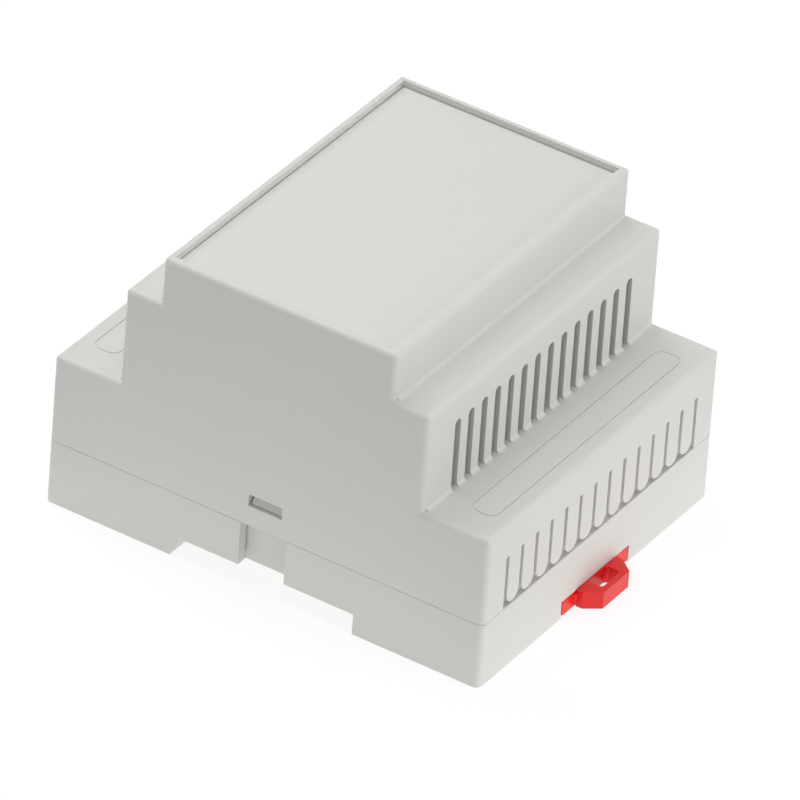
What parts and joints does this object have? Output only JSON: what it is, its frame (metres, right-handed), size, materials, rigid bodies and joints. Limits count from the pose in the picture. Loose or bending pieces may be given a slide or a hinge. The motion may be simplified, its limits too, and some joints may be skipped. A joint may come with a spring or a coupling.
{
  "type": "din rail enclosure",
  "caption": "Stepped light grey plastic enclosure that clips on a 35 mm top-hat rail, with vent slots, break-out tongues, an inset front panel and a red sliding rail clip.",
  "frame": {"origin": "middle of the face that seats on the rail, on the centre line of the enclosure", "axes": "+Z away from the rail towards the front panel, +X across the rail towards the pull tab of the clip, +Y along the rail"},
  "size_m": [0.0916, 0.072, 0.058],
  "materials": {
    "shell": "satin moulded ABS, light grey",
    "panel": "satin moulded ABS, light grey",
    "clip": "smooth moulded red plastic"
  },
  "bodies": {
    "housing": {"base": "shell", "cover": "shell", "front_panel": "panel"},
    "clip": {"rail_clip": "clip"}
  },
  "joints": [
    {"name": "clip_slide", "type": "slide", "parent": "housing", "child": "clip", "axis": [1, 0, 0], "range_m": [0, 0.003]}
  ]
}
